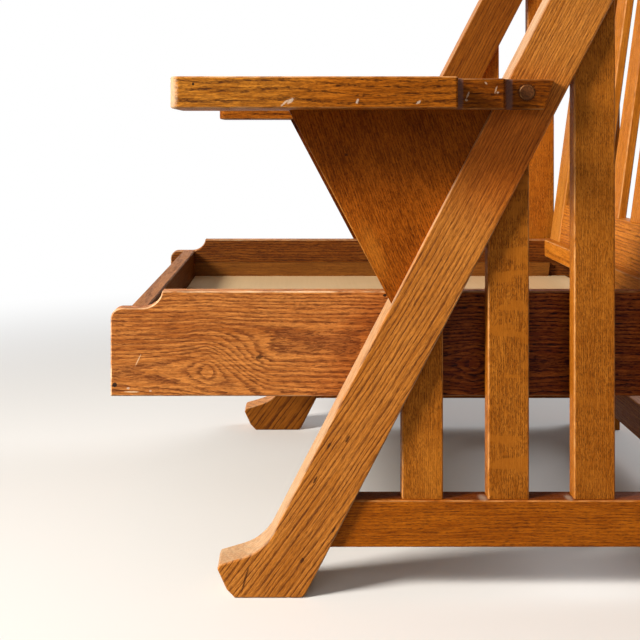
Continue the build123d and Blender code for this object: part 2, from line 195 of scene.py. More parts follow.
def blend_numbers(tree, share, first, second):
    """Two numbers mixed by a share."""
    node = put(tree, "ShaderNodeMix", {"data_type": "FLOAT"})
    feed(tree, share, node.inputs[MIX_SHARE])
    for value, place in zip((first, second), MIX_NUMBERS):
        feed(tree, value, node.inputs[place])
    return node.outputs[0]


def new_finish(name):
    """An empty material with its tree and its shader."""
    material = bpy.data.materials.new(name)
    material.use_nodes = True
    tree = material.node_tree
    return material, tree, tree.nodes["Principled BSDF"]


def coat(tree, shader, colour, roughness, height, strength, depth):
    """Lead a finish's colour, roughness and relief to its shader."""
    feed(tree, colour, shader.inputs["Base Color"])
    feed(tree, roughness, shader.inputs["Roughness"])
    bump = put(tree, "ShaderNodeBump", Strength=strength, Distance=depth, Height=height)
    feed(tree, bump.outputs[0], shader.inputs["Normal"])


# One board of oak, built up in layers that follow its grain. Its places are measured from the
# board's middle, along the grain, the width and the thickness.
#   Number, Thickness: the board's own number, and the way that it is thin
#   Heart, Ring: the heart of the log, and the width of a year's ring
#   Eye, Second: how far an eye in the figure reaches behind and ahead, how far it draws the
#     rings in, and where a second one lies
#   Drop, Slant, Coarse: a step down in the rings, the bend of the grain at the low end, and the
#     stretch over which coarse rings give way to fine ones
#   Sway, Ragged, Fade: how the rings wander, how rough they are, and how far their dark part goes
#   Figure, Patch: repeats a metre of the fibres and of the slow changes of tone
#   Bands, Pores, Flecks, Wear, Worn_and_lit: shares of the dark bands, the pores, the ray flecks,
#       the
#     wear on the edges, and the pale narrow faces, partly wear and partly a painted highlight
OAK_SOCKETS = [
    ("Place", "NodeSocketVector", (0, 0, 0)),
    ("Number", "NodeSocketFloat", 0.0),
    ("Heart", "NodeSocketVector", (0, 0.16, 0.04)),
    ("Eye", "NodeSocketVector", (0.3, 0.3, 0.0)),
    ("Second", "NodeSocketFloat", 10.0),
    ("Drop", "NodeSocketFloat", 0.0),
    ("Ragged", "NodeSocketFloat", 0.5),
    ("Slant", "NodeSocketVector", (0, 0, 0)),
    ("Coarse", "NodeSocketVector", (5, 6, 0)),
    ("Figure", "NodeSocketVector", (13, 300, 300)),
    ("Patch", "NodeSocketVector", (4, 20, 20)),
    ("Ring", "NodeSocketFloat", 0.004),
    ("Sway", "NodeSocketFloat", 0.004),
    ("Bands", "NodeSocketFloat", 0.7),
    ("Pores", "NodeSocketFloat", 0.6),
    ("Flecks", "NodeSocketFloat", 0.1),
    ("Worn_and_lit", "NodeSocketFloat", 0.0),
    ("Fade", "NodeSocketFloat", 0.45),
    ("Thickness", "NodeSocketVector", (1, 0, 0)),
    ("Wear", "NodeSocketFloat", 0.6),
    ("Stain", "NodeSocketColor", (*PORE_STAIN, 1)),
    ("Band", "NodeSocketColor", (*DARK_BAND, 1)),
    ("Body", "NodeSocketColor", (*GOLDEN, 1)),
    ("Bright", "NodeSocketColor", (*HONEY, 1)),
    ("Edge", "NodeSocketColor", (*WORN_EDGE, 1)),
]
OAK_RESULTS = [
    ("Color", "NodeSocketColor"),
    ("Roughness", "NodeSocketFloat"),
    ("Height", "NodeSocketFloat"),
]

# Sizes of the patterns, in repeats a metre along the grain, the width and the thickness
SLOW_SWAY = (5, 16, 16)
QUICK_SWAY = (24, 90, 90)
RAGGED_RINGS = (70, 520, 520)
BROKEN_BANDS = (18, 190, 190)
RAY_FLECKS = (75, 24, 60)
SPECKS = (230, 900, 900)
RUBBING = (35, 60, 60)
DASHES_TO_FIGURE = (4.5, 1.7, 1.7)

# How the patterns are weighed
QUICK_SHARE = (0.3, 0.3, 0.3)
EYE_ROUNDNESS = 0.35
DROP_BEGINS = (-0.005, 0.075)
DROP_ENDS = (0.16, 0.26)
DROP_BEYOND = -0.3
DROP_ACROSS = (0.010, 0.060)
UNEVEN_YEARS_PER_METRE = 45.0
UNEVEN_YEARS = 2.0
RING_OPENING = (0.0, 0.08)
RING_FADES_FROM = 0.15
FINE_RINGS = 1.7
FINE_STRENGTH = 0.65
BAND_BREAKS = (0.32, 0.54)
BAND_LEFT_IN_BREAKS = 0.40
BAND_LOST_ON_NARROW_FACE = 0.5
NARROW_FACE = (0.75, 1.0)
PATCH_EDGE = (0.3, 0.7)
PATCH_SHARE = 0.4
FIBRE_EDGE = (0.42, 0.58)
FIBRE_SHARE = 0.6
RAY_EDGE = (0.52, 0.60)
RAY_STRENGTH = 0.7
DASH_EDGE = (0.5, 0.62)
DASH_STRENGTH = 0.9
SPECK_EDGE = (0.5, 0.64)
SPECK_STRENGTH = 0.75
PORES_IN_LATE_WOOD = 0.5
PORES_LOST_IN_RAYS = 0.8
BOARD_EDGE = (0.1, 0.6)
RUBBING_EDGE = (0.3, 0.62)
LEAST_RUBBED = 0.65

# The satin varnish: its roughness, and the heights of what lies under it
VARNISH_ROUGHNESS = 0.36
PORE_ROUGHNESS = 0.25
PATCH_ROUGHNESS = 0.14
RAY_SMOOTHNESS = 0.1
PORE_HEIGHT = -0.8
FIBRE_HEIGHT = 0.3
BAND_DEPTH = 0.25


def swayed_place(tree, given):
    """The place in the board, with the grain's slow and quick sway and its slant at the low end."""
    place = given["Place"]
    slow = drift(tree, place, given["Number"], SLOW_SWAY)
    quick = drift(tree, place, given["Number"], QUICK_SWAY)
    quick = reckon_vector(tree, "MULTIPLY", quick, QUICK_SHARE)
    size = assembled(tree, 0.0, given["Sway"], given["Sway"])
    sway = reckon_vector(tree, "MULTIPLY", reckon_vector(tree, "ADD", slow, quick), size)
    swayed = reckon_vector(tree, "ADD", place, sway)

    slant = split(tree, given["Slant"])
    along = split(tree, place)[0]
    beyond = reckon(tree, "MINIMUM", reckon(tree, "SUBTRACT", along, slant[1]), 0.0)
    aside = assembled(tree, 0.0, product(tree, beyond, beyond, slant[0]), 0.0)
    return reckon_vector(tree, "ADD", swayed, aside)


def drawn_to_eyes(tree, given, along):
    """How far the rings are drawn in round the board's two eyes."""
    eye = split(tree, given["Eye"])
    behind = reckon(tree, "DIVIDE", reckon(tree, "MULTIPLY", along, -1.0), eye[0])
    ahead = reckon(tree, "DIVIDE", along, eye[1])
    away = reckon(tree, "MAXIMUM", behind, ahead)
    to_second = reckon(tree, "ABSOLUTE", reckon(tree, "SUBTRACT", along, given["Second"]))
    away = reckon(tree, "MINIMUM", away, reckon(tree, "DIVIDE", to_second, eye[1]))
    rounded = reckon(tree, "DIVIDE", away, reckon(tree, "ADD", away, EYE_ROUNDNESS))
    return product(tree, rounded, eye[2])


def stepped_down(tree, given, along, across):
    """How far the rings step down the board ahead of the first eye."""
    drop = ramp_between(tree, along, *DROP_BEGINS)
    ending = ramp_between(tree, along, *DROP_ENDS, start=1.0, end=DROP_BEYOND)
    near_the_eye = ramp_between(tree, across, *DROP_ACROSS, start=1.0, end=0.0)
    return product(tree, drop, ending, near_the_eye, given["Drop"])


def ring_count(tree, given, swayed):
    """Rings from the heart of the log, drawn in round an eye where the board has one."""
    from_heart = reckon_vector(tree, "SUBTRACT", swayed, given["Heart"])
    along, across, deep = split(tree, from_heart)
    rise = drawn_to_eyes(tree, given, along)
    across = reckon(tree, "ADD", across, stepped_down(tree, given, along, across))
    radial = reckon_vector(tree, "LENGTH", assembled(tree, rise, across, deep))
    uneven = put(
        tree,
        "ShaderNodeTexNoise",
        {"noise_dimensions": "1D"},
        W=reckon(tree, "MULTIPLY", radial, UNEVEN_YEARS_PER_METRE),
        Scale=1.0,
        Detail=1.0,
    )
    count = reckon(tree, "DIVIDE", radial, given["Ring"])
    count = reckon(tree, "ADD", count, product(tree, uneven.outputs[0], UNEVEN_YEARS))
    ragged = cloud(tree, swayed, given["Number"], RAGGED_RINGS)
    return reckon(tree, "ADD", count, product(tree, ragged, given["Ragged"]))


def early_wood(tree, count, fade):
    """Dark share of a ring: it starts sharply and fades outwards."""
    year = reckon(tree, "FRACT", count)
    opening = ramp_between(tree, year, *RING_OPENING)
    fading = ramp_between(tree, year, RING_FADES_FROM, fade, start=1.0, end=0.0)
    return product(tree, opening, fading)


def ring_shares(tree, given, swayed):
    """Dark share of the rings. Coarse rings give way to fine ones along some boards."""
    count = ring_count(tree, given, swayed)
    along = split(tree, given["Place"])[0]
    limits = split(tree, given["Coarse"])
    coarse = ramp_between(tree, along, limits[0], limits[1], start=1.0, end=0.0)
    wide = early_wood(tree, count, given["Fade"])
    narrow = early_wood(tree, reckon(tree, "MULTIPLY", count, FINE_RINGS), given["Fade"])
    narrow = product(tree, narrow, FINE_STRENGTH)
    return blend_numbers(tree, coarse, narrow, wide)


def dark_bands(tree, given, swayed, rings, narrow_face):
    """Share of the dark bands, which break up along the grain and show less on narrow faces."""
    broken = cloud(tree, swayed, given["Number"], BROKEN_BANDS)
    broken = ramp_between(tree, broken, *BAND_BREAKS, start=BAND_LEFT_IN_BREAKS)
    bands = product(tree, rings, broken, given["Bands"])
    lost = product(tree, narrow_face, BAND_LOST_ON_NARROW_FACE)
    return product(tree, bands, remainder(tree, lost))


def ray_share(tree, given):
    """Share of the ray flecks, smooth bands that run across the grain."""
    rays = cloud(tree, given["Place"], given["Number"], RAY_FLECKS, detail=1.5, roughness=0.4)
    return product(tree, ramp_between(tree, rays, *RAY_EDGE), given["Flecks"])


def pore_share(tree, given, swayed, rings, rays):
    """Share of the pores, short dashes along the grain, thickest in the early wood."""
    dash_size = reckon_vector(tree, "MULTIPLY", given["Figure"], DASHES_TO_FIGURE)
    dashes = cloud(tree, swayed, given["Number"], dash_size)
    dashes = product(tree, ramp_between(tree, dashes, *DASH_EDGE), DASH_STRENGTH)
    specks = cloud(tree, swayed, given["Number"], SPECKS, detail=1.0)
    specks = product(tree, ramp_between(tree, specks, *SPECK_EDGE), SPECK_STRENGTH)
    pores = reckon(tree, "MAXIMUM", dashes, specks)
    in_early_wood = product(tree, rings, 1.0 - PORES_IN_LATE_WOOD)
    pores = product(tree, pores, reckon(tree, "ADD", in_early_wood, PORES_IN_LATE_WOOD))
    clear_of_rays = remainder(tree, product(tree, rays, PORES_LOST_IN_RAYS))
    return product(tree, pores, clear_of_rays, given["Pores"])


def worn_and_lit_share(tree, given, facing, across, narrow_face):
    """Share of the pale tone: the finish worn through along the edges, and on some narrow faces a
    paleness that is partly wear and partly a painted highlight.
    """
    edge = ramp_between(tree, reckon(tree, "MINIMUM", facing, across), *BOARD_EDGE)
    rubbing = cloud(tree, given["Place"], given["Number"], RUBBING, detail=3.0, roughness=0.65)
    rubbing = ramp_between(tree, rubbing, *RUBBING_EDGE)
    worn = product(tree, edge, rubbing, given["Wear"])
    uneven = reckon(tree, "ADD", product(tree, rubbing, 1.0 - LEAST_RUBBED), LEAST_RUBBED)
    return reckon(tree, "MAXIMUM", worn, product(tree, narrow_face, uneven, given["Worn_and_lit"]))


def build_oak():
    """The node group that every board's finish shares."""
    tree = bpy.data.node_groups.new("oak_board", "ShaderNodeTree")
    for name, kind, value in OAK_SOCKETS:
        socket = tree.interface.new_socket(name, in_out="INPUT", socket_type=kind)
        socket.default_value = value
    for name, kind in OAK_RESULTS:
        tree.interface.new_socket(name, in_out="OUTPUT", socket_type=kind)
    given = tree.nodes.new("NodeGroupInput").outputs

    # How far a face is the board's broad one, and how far its narrow one
    normal = put(tree, "ShaderNodeTexCoord").outputs["Normal"]
    facing = reckon_vector(tree, "DOT_PRODUCT", normal, given["Thickness"])
    facing = reckon(tree, "ABSOLUTE", facing)
    across = reckon(tree, "SQRT", remainder(tree, product(tree, facing, facing)))
    narrow_face = ramp_between(tree, across, *NARROW_FACE)

    # Slow changes of tone and long fibres under the dark bands
    swayed = swayed_place(tree, given)
    rings = ring_shares(tree, given, swayed)
    bands = dark_bands(tree, given, swayed, rings, narrow_face)
    patches = cloud(tree, given["Place"], given["Number"], given["Patch"], detail=3.0)
    fibres = cloud(tree, swayed, given["Number"], given["Figure"], detail=5.0, roughness=0.75)
    tone = product(tree, ramp_between(tree, patches, *PATCH_EDGE), PATCH_SHARE)
    fibre_tone = product(tree, ramp_between(tree, fibres, *FIBRE_EDGE), FIBRE_SHARE)
    tone = reckon(tree, "ADD", tone, fibre_tone)
    colour = blend(tree, tone, given["Body"], given["Bright"])
    colour = blend(tree, bands, colour, given["Band"])

    # Ray flecks, then the pores around them, then the wear and the narrow faces' painted highlight
    # over both
    rays = ray_share(tree, given)
    ray_tone = blend(tree, 0.5, given["Body"], given["Bright"])
    colour = blend(tree, product(tree, rays, RAY_STRENGTH), colour, ray_tone)
    pores = pore_share(tree, given, swayed, rings, rays)
    colour = blend(tree, pores, colour, given["Stain"])
    worn_grain = blend(tree, 1.0, given["Edge"], WORN_GRAIN, "MULTIPLY")
    worn_grain = blend(tree, tone, worn_grain, given["Edge"])
    colour = blend(tree, worn_and_lit_share(tree, given, facing, across, narrow_face), colour, worn_grain)

    # Satin varnish, duller in the pores, which are sunk in it
    roughness = reckon(tree, "ADD", VARNISH_ROUGHNESS, product(tree, pores, PORE_ROUGHNESS))
    roughness = reckon(tree, "ADD", roughness, product(tree, patches, PATCH_ROUGHNESS))
    roughness = reckon(tree, "SUBTRACT", roughness, product(tree, rays, RAY_SMOOTHNESS))
    height = product(tree, pores, PORE_HEIGHT)
    height = reckon(tree, "ADD", height, product(tree, fibres, FIBRE_HEIGHT))
    height = reckon(tree, "SUBTRACT", height, product(tree, bands, BAND_DEPTH))

    result = tree.nodes.new("NodeGroupOutput").inputs
    feed(tree, colour, result["Color"])
    feed(tree, roughness, result["Roughness"])
    feed(tree, height, result["Height"])
    return tree


oak = build_oak()


# Marks of use and of growth, patches of painted light and shade, and how each kind looks
MARK_LOOKS = {
    "knot": dict(tone=(0.045, 0.012, 0.004), strength=0.85, edge=0.45, ragged=0.9),
    "nail": dict(tone=(0.016, 0.010, 0.008), strength=0.95, edge=0.25, ragged=0.3),
    "chip": dict(tone=(0.700, 0.520, 0.380), strength=0.75, edge=0.4, ragged=1.6),
    "scratch": dict(tone=(0.760, 0.500, 0.280), strength=0.8, edge=0.4, ragged=0.9),
    # A painted highlight along the bracket's front edge
    "painted_edge_highlight": dict(tone=(0.62, 0.24, 0.04), strength=0.8, edge=0.5, ragged=0.5),
    # Painted shade and a cool painted reflection in the arm's coves
    "painted_cove_shade": dict(tone=(0.150, 0.080, 0.070), strength=0.72, edge=0.45, ragged=0.9),
    # A dark line by the leg's foot: painted shadow
    "painted_shadow_line": dict(tone=(0.050, 0.012, 0.004), strength=0.8, edge=0.6, ragged=0.5),
    "plug_rim": dict(tone=(0.030, 0.009, 0.004), strength=0.85, edge=0.3, ragged=0.5),
    "dust": dict(tone=(0.500, 0.400, 0.300), strength=0.5, edge=0.9, ragged=1.0),
    # Lighter patches: painted light
    "painted_light_patch": dict(tone=HONEY, strength=0.3, edge=0.98, ragged=0.4),
    # Paler rounded front corner of the arm: worn finish and a painted highlight
    "worn_and_lit_end": dict(tone=(0.74, 0.56, 0.38), strength=0.55, edge=0.6, ragged=0.9),
    # Darker top of the stretcher between the slats: painted shade
    "painted_shade_between_slats": dict(
        tone=(0.34, 0.24, 0.16), strength=0.9, edge=0.35, ragged=0.2, way="MULTIPLY"
    ),
    # Lighter, paler front end of the arm: painted light
    "painted_front_light": dict(tone=(1.45, 1.90, 3.20), strength=1.0, edge=0.6, ragged=0.1, way="MULTIPLY"),
    # Darkening in the corner by the leg and behind the arm's step: painted shade
    "painted_recess_shade": dict(tone=(0.50, 0.40, 0.30), strength=0.75, edge=0.9, ragged=0.3, way="MULTIPLY"),
    # Darker patch on the leg below the arm: the arm's painted shadow
    "painted_arm_shadow": dict(tone=(0.95, 0.66, 0.36), strength=1.0, edge=0.8, ragged=0.3, way="MULTIPLY"),
    # The side rail behind the slats, darkened and deepened: painted shade
    "painted_rail_shade": dict(tone=RAIL_PAINTED_SHADE, strength=1.0, edge=0.25, ragged=0.1, way="MULTIPLY"),
    "painted_rail_deep_shade": dict(tone=RAIL_PAINTED_DEEP_SHADE, strength=1.0, edge=0.25, ragged=0.1, way="SUBTRACT"),
}

# Where the marks lie. Each is a blot: how far out its middle is from the outermost face of its
# piece, then its middle's Y and Z, its half sizes, and its turn about X in degrees. The arm's
# neck is set back from the edge of the arm.
NECK = -0.040
MARKS = {
    "left_leg": [
        ("knot", (0, -0.136, 0.165), (0.004, 0.0016, 0.0048), -30),
        ("knot", (0, -0.116, 0.172), (0.004, 0.0015, 0.0055), -32),
        ("knot", (0, -0.151, 0.128), (0.004, 0.0015, 0.0060), -30),
        ("knot", (0, -0.165, 0.041), (0.004, 0.0022, 0.0045), -32),
        ("knot", (0, -0.131, 0.074), (0.004, 0.0014, 0.0045), -30),
        # Painted shadow line by the leg's foot
        ("painted_shadow_line", (0, -0.2268, 0.020), (0.005, 0.0016, 0.021), -16),
        # The arm's painted shadow on the leg
        ("painted_arm_shadow", (0, 0.0650, 0.4850), (0.005, 0.1200, 0.1200), 0),
    ],
    "left_arm": [
        # Painted light on the arm's front end
        ("painted_front_light", (-0.060, -0.3000, 0.5440), (0.200, 0.1900, 0.2000), 0),
        # Worn front corner of the arm with a painted highlight
        ("worn_and_lit_end", (-0.002, -0.2990, 0.5440), (0.014, 0.0090, 0.0320), 0),
        ("nail", (0, -0.2760, 0.5520), (0.004, 0.0014, 0.0018), 0),
        ("chip", (0, -0.1835, 0.5330), (0.004, 0.0012, 0.0058), -48),
        ("chip", (0, -0.1775, 0.5350), (0.004, 0.0022, 0.0050), -50),
        ("chip", (0, -0.1100, 0.5345), (0.004, 0.0014, 0.0034), -20),
        ("chip", (0, -0.0480, 0.5335), (0.004, 0.0030, 0.0014), 35),
        ("chip", (NECK, 0.0086, 0.5425), (0.004, 0.0011, 0.0045), -20),
        ("chip", (NECK, 0.0070, 0.5370), (0.004, 0.0018, 0.0016), 0),
        ("chip", (NECK, 0.0275, 0.5550), (0.004, 0.0010, 0.0022), 40),
        ("chip", (NECK, 0.0380, 0.5480), (0.004, 0.0010, 0.0046), -16),
        ("chip", (NECK, 0.0400, 0.5450), (0.004, 0.0016, 0.0012), 0),
        # Painted shade at the arm's neck, behind its step
        ("painted_recess_shade", (-0.050, 0.0660, 0.5440), (0.100, 0.1150, 0.100), 0),
        ("plug_rim", (-0.056, 0.07425, 0.5460), (0.005, 0.0110, 0.0110), 0),
        # Painted shade and reflection in the arm's coves
        ("painted_cove_shade", (-0.037, 0.0000, 0.5440), (0.012, 0.0050, 0.040), 0),
        ("painted_cove_shade", (-0.054, 0.0550, 0.5440), (0.012, 0.0054, 0.040), 0),
    ],
    "left_arm_bracket": [
        ("knot", (-0.0005, -0.1175, 0.4790), (0.004, 0.0022, 0.0020), 0),
        # Painted light patch on the bracket
        ("painted_light_patch", (-0.0005, -0.0880, 0.3750), (0.010, 0.0150, 0.0500), 22),
        # Painted highlight along the bracket's front edge
        ("painted_edge_highlight", (0, -0.1245, 0.4225), (0.026, 0.0020, 0.1180), 27.9),
    ],
    "left_seat_side_rail": [
        ("nail", (0, -0.3752, 0.2198), (0.003, 0.0030, 0.0030), 0),
        ("nail", (0, -0.0717, 0.3205), (0.003, 0.0026, 0.0018), 0),
        ("knot", (0, -0.2130, 0.2510), (0.004, 0.0050, 0.0026), 8),
        ("scratch", (0, -0.3490, 0.2475), (0.003, 0.0007, 0.0085), -26),
        ("scratch", (0, -0.3560, 0.2120), (0.003, 0.0100, 0.0011), 0),
        ("chip", (0, -0.3600, 0.2160), (0.003, 0.0018, 0.0016), 0),
        ("chip", (0, -0.3350, 0.2130), (0.003, 0.0013, 0.0013), 0),
        # Painted shade in the corner between the rail and the leg
        ("painted_recess_shade", (0, -0.0940, 0.2650), (0.015, 0.0460, 0.1300), -27),
        # Painted shade on the rail behind the slats
        ("painted_rail_shade", (0, 0.2000, 0.2700), (0.020, 0.2700, 0.400), 0),
        ("painted_rail_deep_shade", (0, 0.2000, 0.2700), (0.020, 0.2700, 0.400), 0),
    ],
    "left_side_slat_1": [
        # Painted light patch on the slat
        ("painted_light_patch", (0, -0.0220, 0.140), (0.012, 0.0200, 0.0600), 0),
    ],
    "left_side_stretcher": [
        # Painted shade on the stretcher's top between the slats
        ("painted_shade_between_slats", (-0.0155, 0.1200, 0.1035), (0.0165, 0.4000, 0.0030), 0),
        ("dust", (-0.0095, 0.0330, 0.1030), (0.014, 0.0070, 0.0016), 0),
        ("dust", (-0.0095, 0.1270, 0.1030), (0.014, 0.0060, 0.0014), 0),
    ],
}
MARK_OUTLINE = (800, 800, 800)
MARK_NUMBER = 3.0


def add_mark(tree, place, colour, look, middle, half_sizes, turn):
    """One blot laid over a colour."""
    within = put(
        tree,
        "ShaderNodeMapping",
        {"vector_type": "TEXTURE"},
        Vector=place,
        Location=middle,
        Rotation=(radians(turn), 0, 0),
        Scale=half_sizes,
    )
    outline = cloud(tree, place, MARK_NUMBER, MARK_OUTLINE)
    outline = product(tree, reckon(tree, "SUBTRACT", outline, 0.5), look["ragged"])
    from_middle = reckon_vector(tree, "LENGTH", within.outputs[0])
    reach = reckon(tree, "ADD", from_middle, outline)
    inside = 1.0 - look["edge"]
    share = ramp_between(tree, reach, inside, 1.0, start=look["strength"], end=0.0)
    return blend(tree, share, colour, look["tone"], look.get("way", "MIX"))


def add_marks(tree, name, place, colour):
    """All the marks of one piece, laid over its colour."""
    outer_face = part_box(name)[1].x
    for kind, (out, y, z), half_sizes, turn in MARKS.get(name, []):
        middle = (outer_face + out, y, z)
        colour = add_mark(tree, place, colour, MARK_LOOKS[kind], middle, half_sizes, turn)
    return colour


def paint_inner_shade(tree, colour, inward, inner):
    """Painted shade: the faces that are turned inward are darkened."""
    normal = put(tree, "ShaderNodeTexCoord").outputs["Normal"]
    toward = reckon_vector(tree, "DOT_PRODUCT", normal, inward)
    return blend(tree, ramp_between(tree, toward, *INWARD_SHADE_RAMP), colour, inner, "MULTIPLY")


def board_turn(grain, thickness):
    """Turn from the chair's frame to a board's: grain, width, thickness."""
    width = thickness.cross(grain)
    return Matrix((grain, width, thickness)).to_euler()


def board_middle(name):
    """The middle of a node's box."""
    low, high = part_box(name)
    return (low + high) / 2


# Far enough between two boards' numbers that no two share a pattern
NUMBER_STEP = 3.7
OAK_RELIEF = dict(strength=0.6, depth=0.0006)


def oak_finish(name, grain, thickness, number, gloss=0.1, inward=None, inner=INNER_FACE_SHADE, **looks):
    """A piece's own oak: the grain runs along it from its middle, with its own number."""
    material, tree, shader = new_finish(f"{name}_finish")
    turn = board_turn(grain, thickness)
    middle = turn.to_matrix() @ board_middle(name)
    chair_place = put(tree, "ShaderNodeTexCoord").outputs["Object"]
    place = put(tree, "ShaderNodeMapping", Vector=chair_place, Location=-middle, Rotation=turn)
    board = put(
        tree,
        "ShaderNodeGroup",
        {"node_tree": oak},
        Place=place.outputs[0],
        Number=number * NUMBER_STEP,
        Thickness=thickness,
    )
    for look, value in looks.items():
        socket = board.inputs[look.capitalize()]
        socket.default_value = (*value, 1) if socket.type == "RGBA" else value
    colour = board.outputs["Color"]
    # Faces turned toward the seat get painted shade
    if inward:
        colour = paint_inner_shade(tree, colour, inward, inner)
    colour = add_marks(tree, name, chair_place, colour)
    roughness, height = board.outputs["Roughness"], board.outputs["Height"]
    coat(tree, shader, colour, roughness, height, **OAK_RELIEF)
    shader.inputs["Specular IOR Level"].default_value = gloss
    return material


def dress(name, material):
    """Give a CAD node its finish."""
    piece = nodes[name]
    piece.data.materials.clear()
    piece.data.materials.append(material)


# Tones of the pieces that differ from the frame's
LEG_TONES = dict(
    body=(0.40, 0.122, 0.011),
    bright=(0.66, 0.245, 0.040),
    band=(0.17, 0.044, 0.006),
    stain=(0.105, 0.027, 0.006),
    edge=(0.62, 0.445, 0.27),
)
RAIL_TONES = dict(
    body=(0.36, 0.097, 0.014),
    bright=(0.71, 0.268, 0.060),
    band=(0.17, 0.040, 0.010),
    stain=(0.110, 0.026, 0.006),
    edge=(0.80, 0.56, 0.34),
)
# Darker tones for the front rail: painted shade
SHADED_FRONT_RAIL_TONES = dict(
    body=(0.26, 0.088, 0.018),
    bright=(0.46, 0.180, 0.048),
    band=(0.12, 0.038, 0.010),
)
STRETCHER_TONES = dict(
    body=(0.26, 0.057, 0.002),
    bright=(0.49, 0.135, 0.006),
    band=(0.13, 0.028, 0.001),
)
SLAT_TONES = dict(
    body=(0.28, 0.073, 0.003),
    bright=(0.52, 0.172, 0.016),
    band=(0.14, 0.035, 0.003),
    stain=(0.100, 0.026, 0.003),
)
ARM_TONES = dict(
    body=(0.20, 0.046, 0.002),
    bright=(0.52, 0.152, 0.010),
    band=(0.055, 0.013, 0.002),
    stain=(0.045, 0.010, 0.002),
)
BRACKET_TONES = dict(
    body=(0.190, 0.037, 0.001),
    bright=(0.500, 0.125, 0.008),
    band=(0.070, 0.013, 0.002),
    stain=(0.024, 0.006, 0.002),
)
STRIP_TONES = dict(body=(0.14, 0.048, 0.007), bright=(0.23, 0.082, 0.012))
# The back stiles' lighter tone: painted light
LIT_STILE_TONES = dict(body=(0.47, 0.160, 0.016), bright=(0.70, 0.300, 0.050))
PLUG_TONES = dict(
    body=(0.08, 0.026, 0.007),
    bright=(0.16, 0.055, 0.014),
    stain=(0.03, 0.009, 0.004),
)
RAW_TONES = dict(
    body=(0.40, 0.24, 0.11),
    bright=(0.56, 0.38, 0.20),
    band=(0.28, 0.15, 0.06),
    stain=(0.16, 0.08, 0.03),
    edge=(0.60, 0.42, 0.25),
)

# Each kind of board: where its grain runs, which way it is thin, and how it was sawn
SLAT_CUT = dict(
    ring=0.0023, sway=0.002, bands=0.3, pores=1.0, heart=(0, 0.2, 0), gloss=0.07,
    figure=(60, 520, 520), patch=(8, 30, 30), **SLAT_TONES
)
SIDE_BOARDS = {
    "leg": (
        UP_THE_LEG,
        -ALONG_X,
        dict(
            # The leg's narrow faces are paler: worn finish and painted highlight
            ring=0.0050, sway=0.005, bands=0.95, slant=(0.16, 0.0, 0), coarse=(-0.20, 0.02, 0),
            worn_and_lit=0.8, pores=0.75, ragged=0.35, heart=(0, 0.2, 0.05), figure=(20, 560, 560),
            **LEG_TONES
        ),
    ),
    "rear_post": (UPRIGHT, ALONG_X, dict(ring=0.0045, heart=(0, 0.08, 0.05))),
    "head_tenon": (UP_THE_LEG, -ALONG_X, RAW_TONES),
    "side_stretcher": (
        ALONG_Y,
        ALONG_X,
        dict(
            ring=0.0034, sway=0.007, bands=0.4, pores=0.8, ragged=1.0, heart=(0, 0.15, 0.03),
            gloss=0.07, figure=(30, 600, 600), patch=(12, 60, 60), **STRETCHER_TONES
        ),
    ),
    "side_slat_1": (UPRIGHT, ALONG_X, dict(flecks=0.15, **SLAT_CUT)),
    "side_slat_2": (UPRIGHT, ALONG_X, dict(flecks=1.0, **SLAT_CUT)),
    "side_slat_3": (UPRIGHT, ALONG_X, dict(flecks=0.4, **SLAT_CUT)),
    "side_slat_4": (UPRIGHT, ALONG_X, dict(flecks=0.6, **SLAT_CUT)),
    "arm": (
        ALONG_Y,
        UPRIGHT,
        dict(
            ring=0.0034, sway=0.010, bands=1.0, pores=1.0, ragged=0.9, heart=(0, 0.05, -0.05),
            wear=0.7, gloss=0.05, figure=(24, 420, 420), **ARM_TONES
        ),
    ),
    "arm_bracket": (
        UP_THE_BRACKET,
        ALONG_X,
        dict(
            ring=0.0030, sway=0.006, bands=0.3, pores=0.75, slant=(0.5, 0.03, 0), wear=0.9,
            gloss=0.05, heart=(0, 0.3, 0), figure=(100, 640, 640), patch=(9, 24, 24),
            **BRACKET_TONES
        ),
    ),
    "seat_side_rail": (
        ALONG_Y,
        ALONG_X,
        dict(
            ring=0.0044, sway=0.010, bands=0.66, fade=0.70, pores=0.9, eye=(0.05, 0.045, 0.023),
            drop=0.035, second=0.300, ragged=0.8, heart=(-0.266, -0.033, 0.002), wear=1.0,
            figure=(22, 420, 420), **RAIL_TONES
        ),
    ),
    "deck_ledger": (ALONG_Y, ALONG_X, RAW_TONES),
    "deck_strip": (ALONG_Y, ALONG_X, dict(ring=0.0030, bands=0.2, **STRIP_TONES)),
    "back_stile": (UP_THE_BACK, THROUGH_THE_BACK, dict(ring=0.0040, bands=0.5, **LIT_STILE_TONES)),
    "arm_plug": (ALONG_X, ALONG_Y, dict(ring=0.0030, **PLUG_TONES)),
}
CROSS_BOARDS = {
    "rear_stretcher": (ALONG_X, ALONG_Y, dict(ring=0.0034, **SLAT_TONES)),
    # The front rail: darker tones, and painted shade on its faces toward the seat
    "seat_front_rail": (
        ALONG_X,
        ALONG_Y,
        dict(ring=0.0048, sway=0.008, inward=ALONG_Y, gloss=0.03, **SHADED_FRONT_RAIL_TONES),
    ),
    "seat_rear_rail": (ALONG_X, ALONG_Y, dict(ring=0.0042, sway=0.008, **SLAT_TONES)),
    "front_ledger": (ALONG_X, ALONG_Y, RAW_TONES),
    "deck_bearer": (ALONG_X, UPRIGHT, RAW_TONES),
    "back_sill": (ALONG_X, UPRIGHT, dict(ring=0.0045)),
    "back_bottom_rail": (ALONG_X, THROUGH_THE_BACK, dict(ring=0.0045)),
    "back_top_rail": (ALONG_X, THROUGH_THE_BACK, dict(ring=0.0050, eye=(0.2, 0.2, 0.03))),
    "back_plugs": (ALONG_X, ALONG_Y, dict(ring=0.0030, **PLUG_TONES)),
}
BACK_SLATS = 5
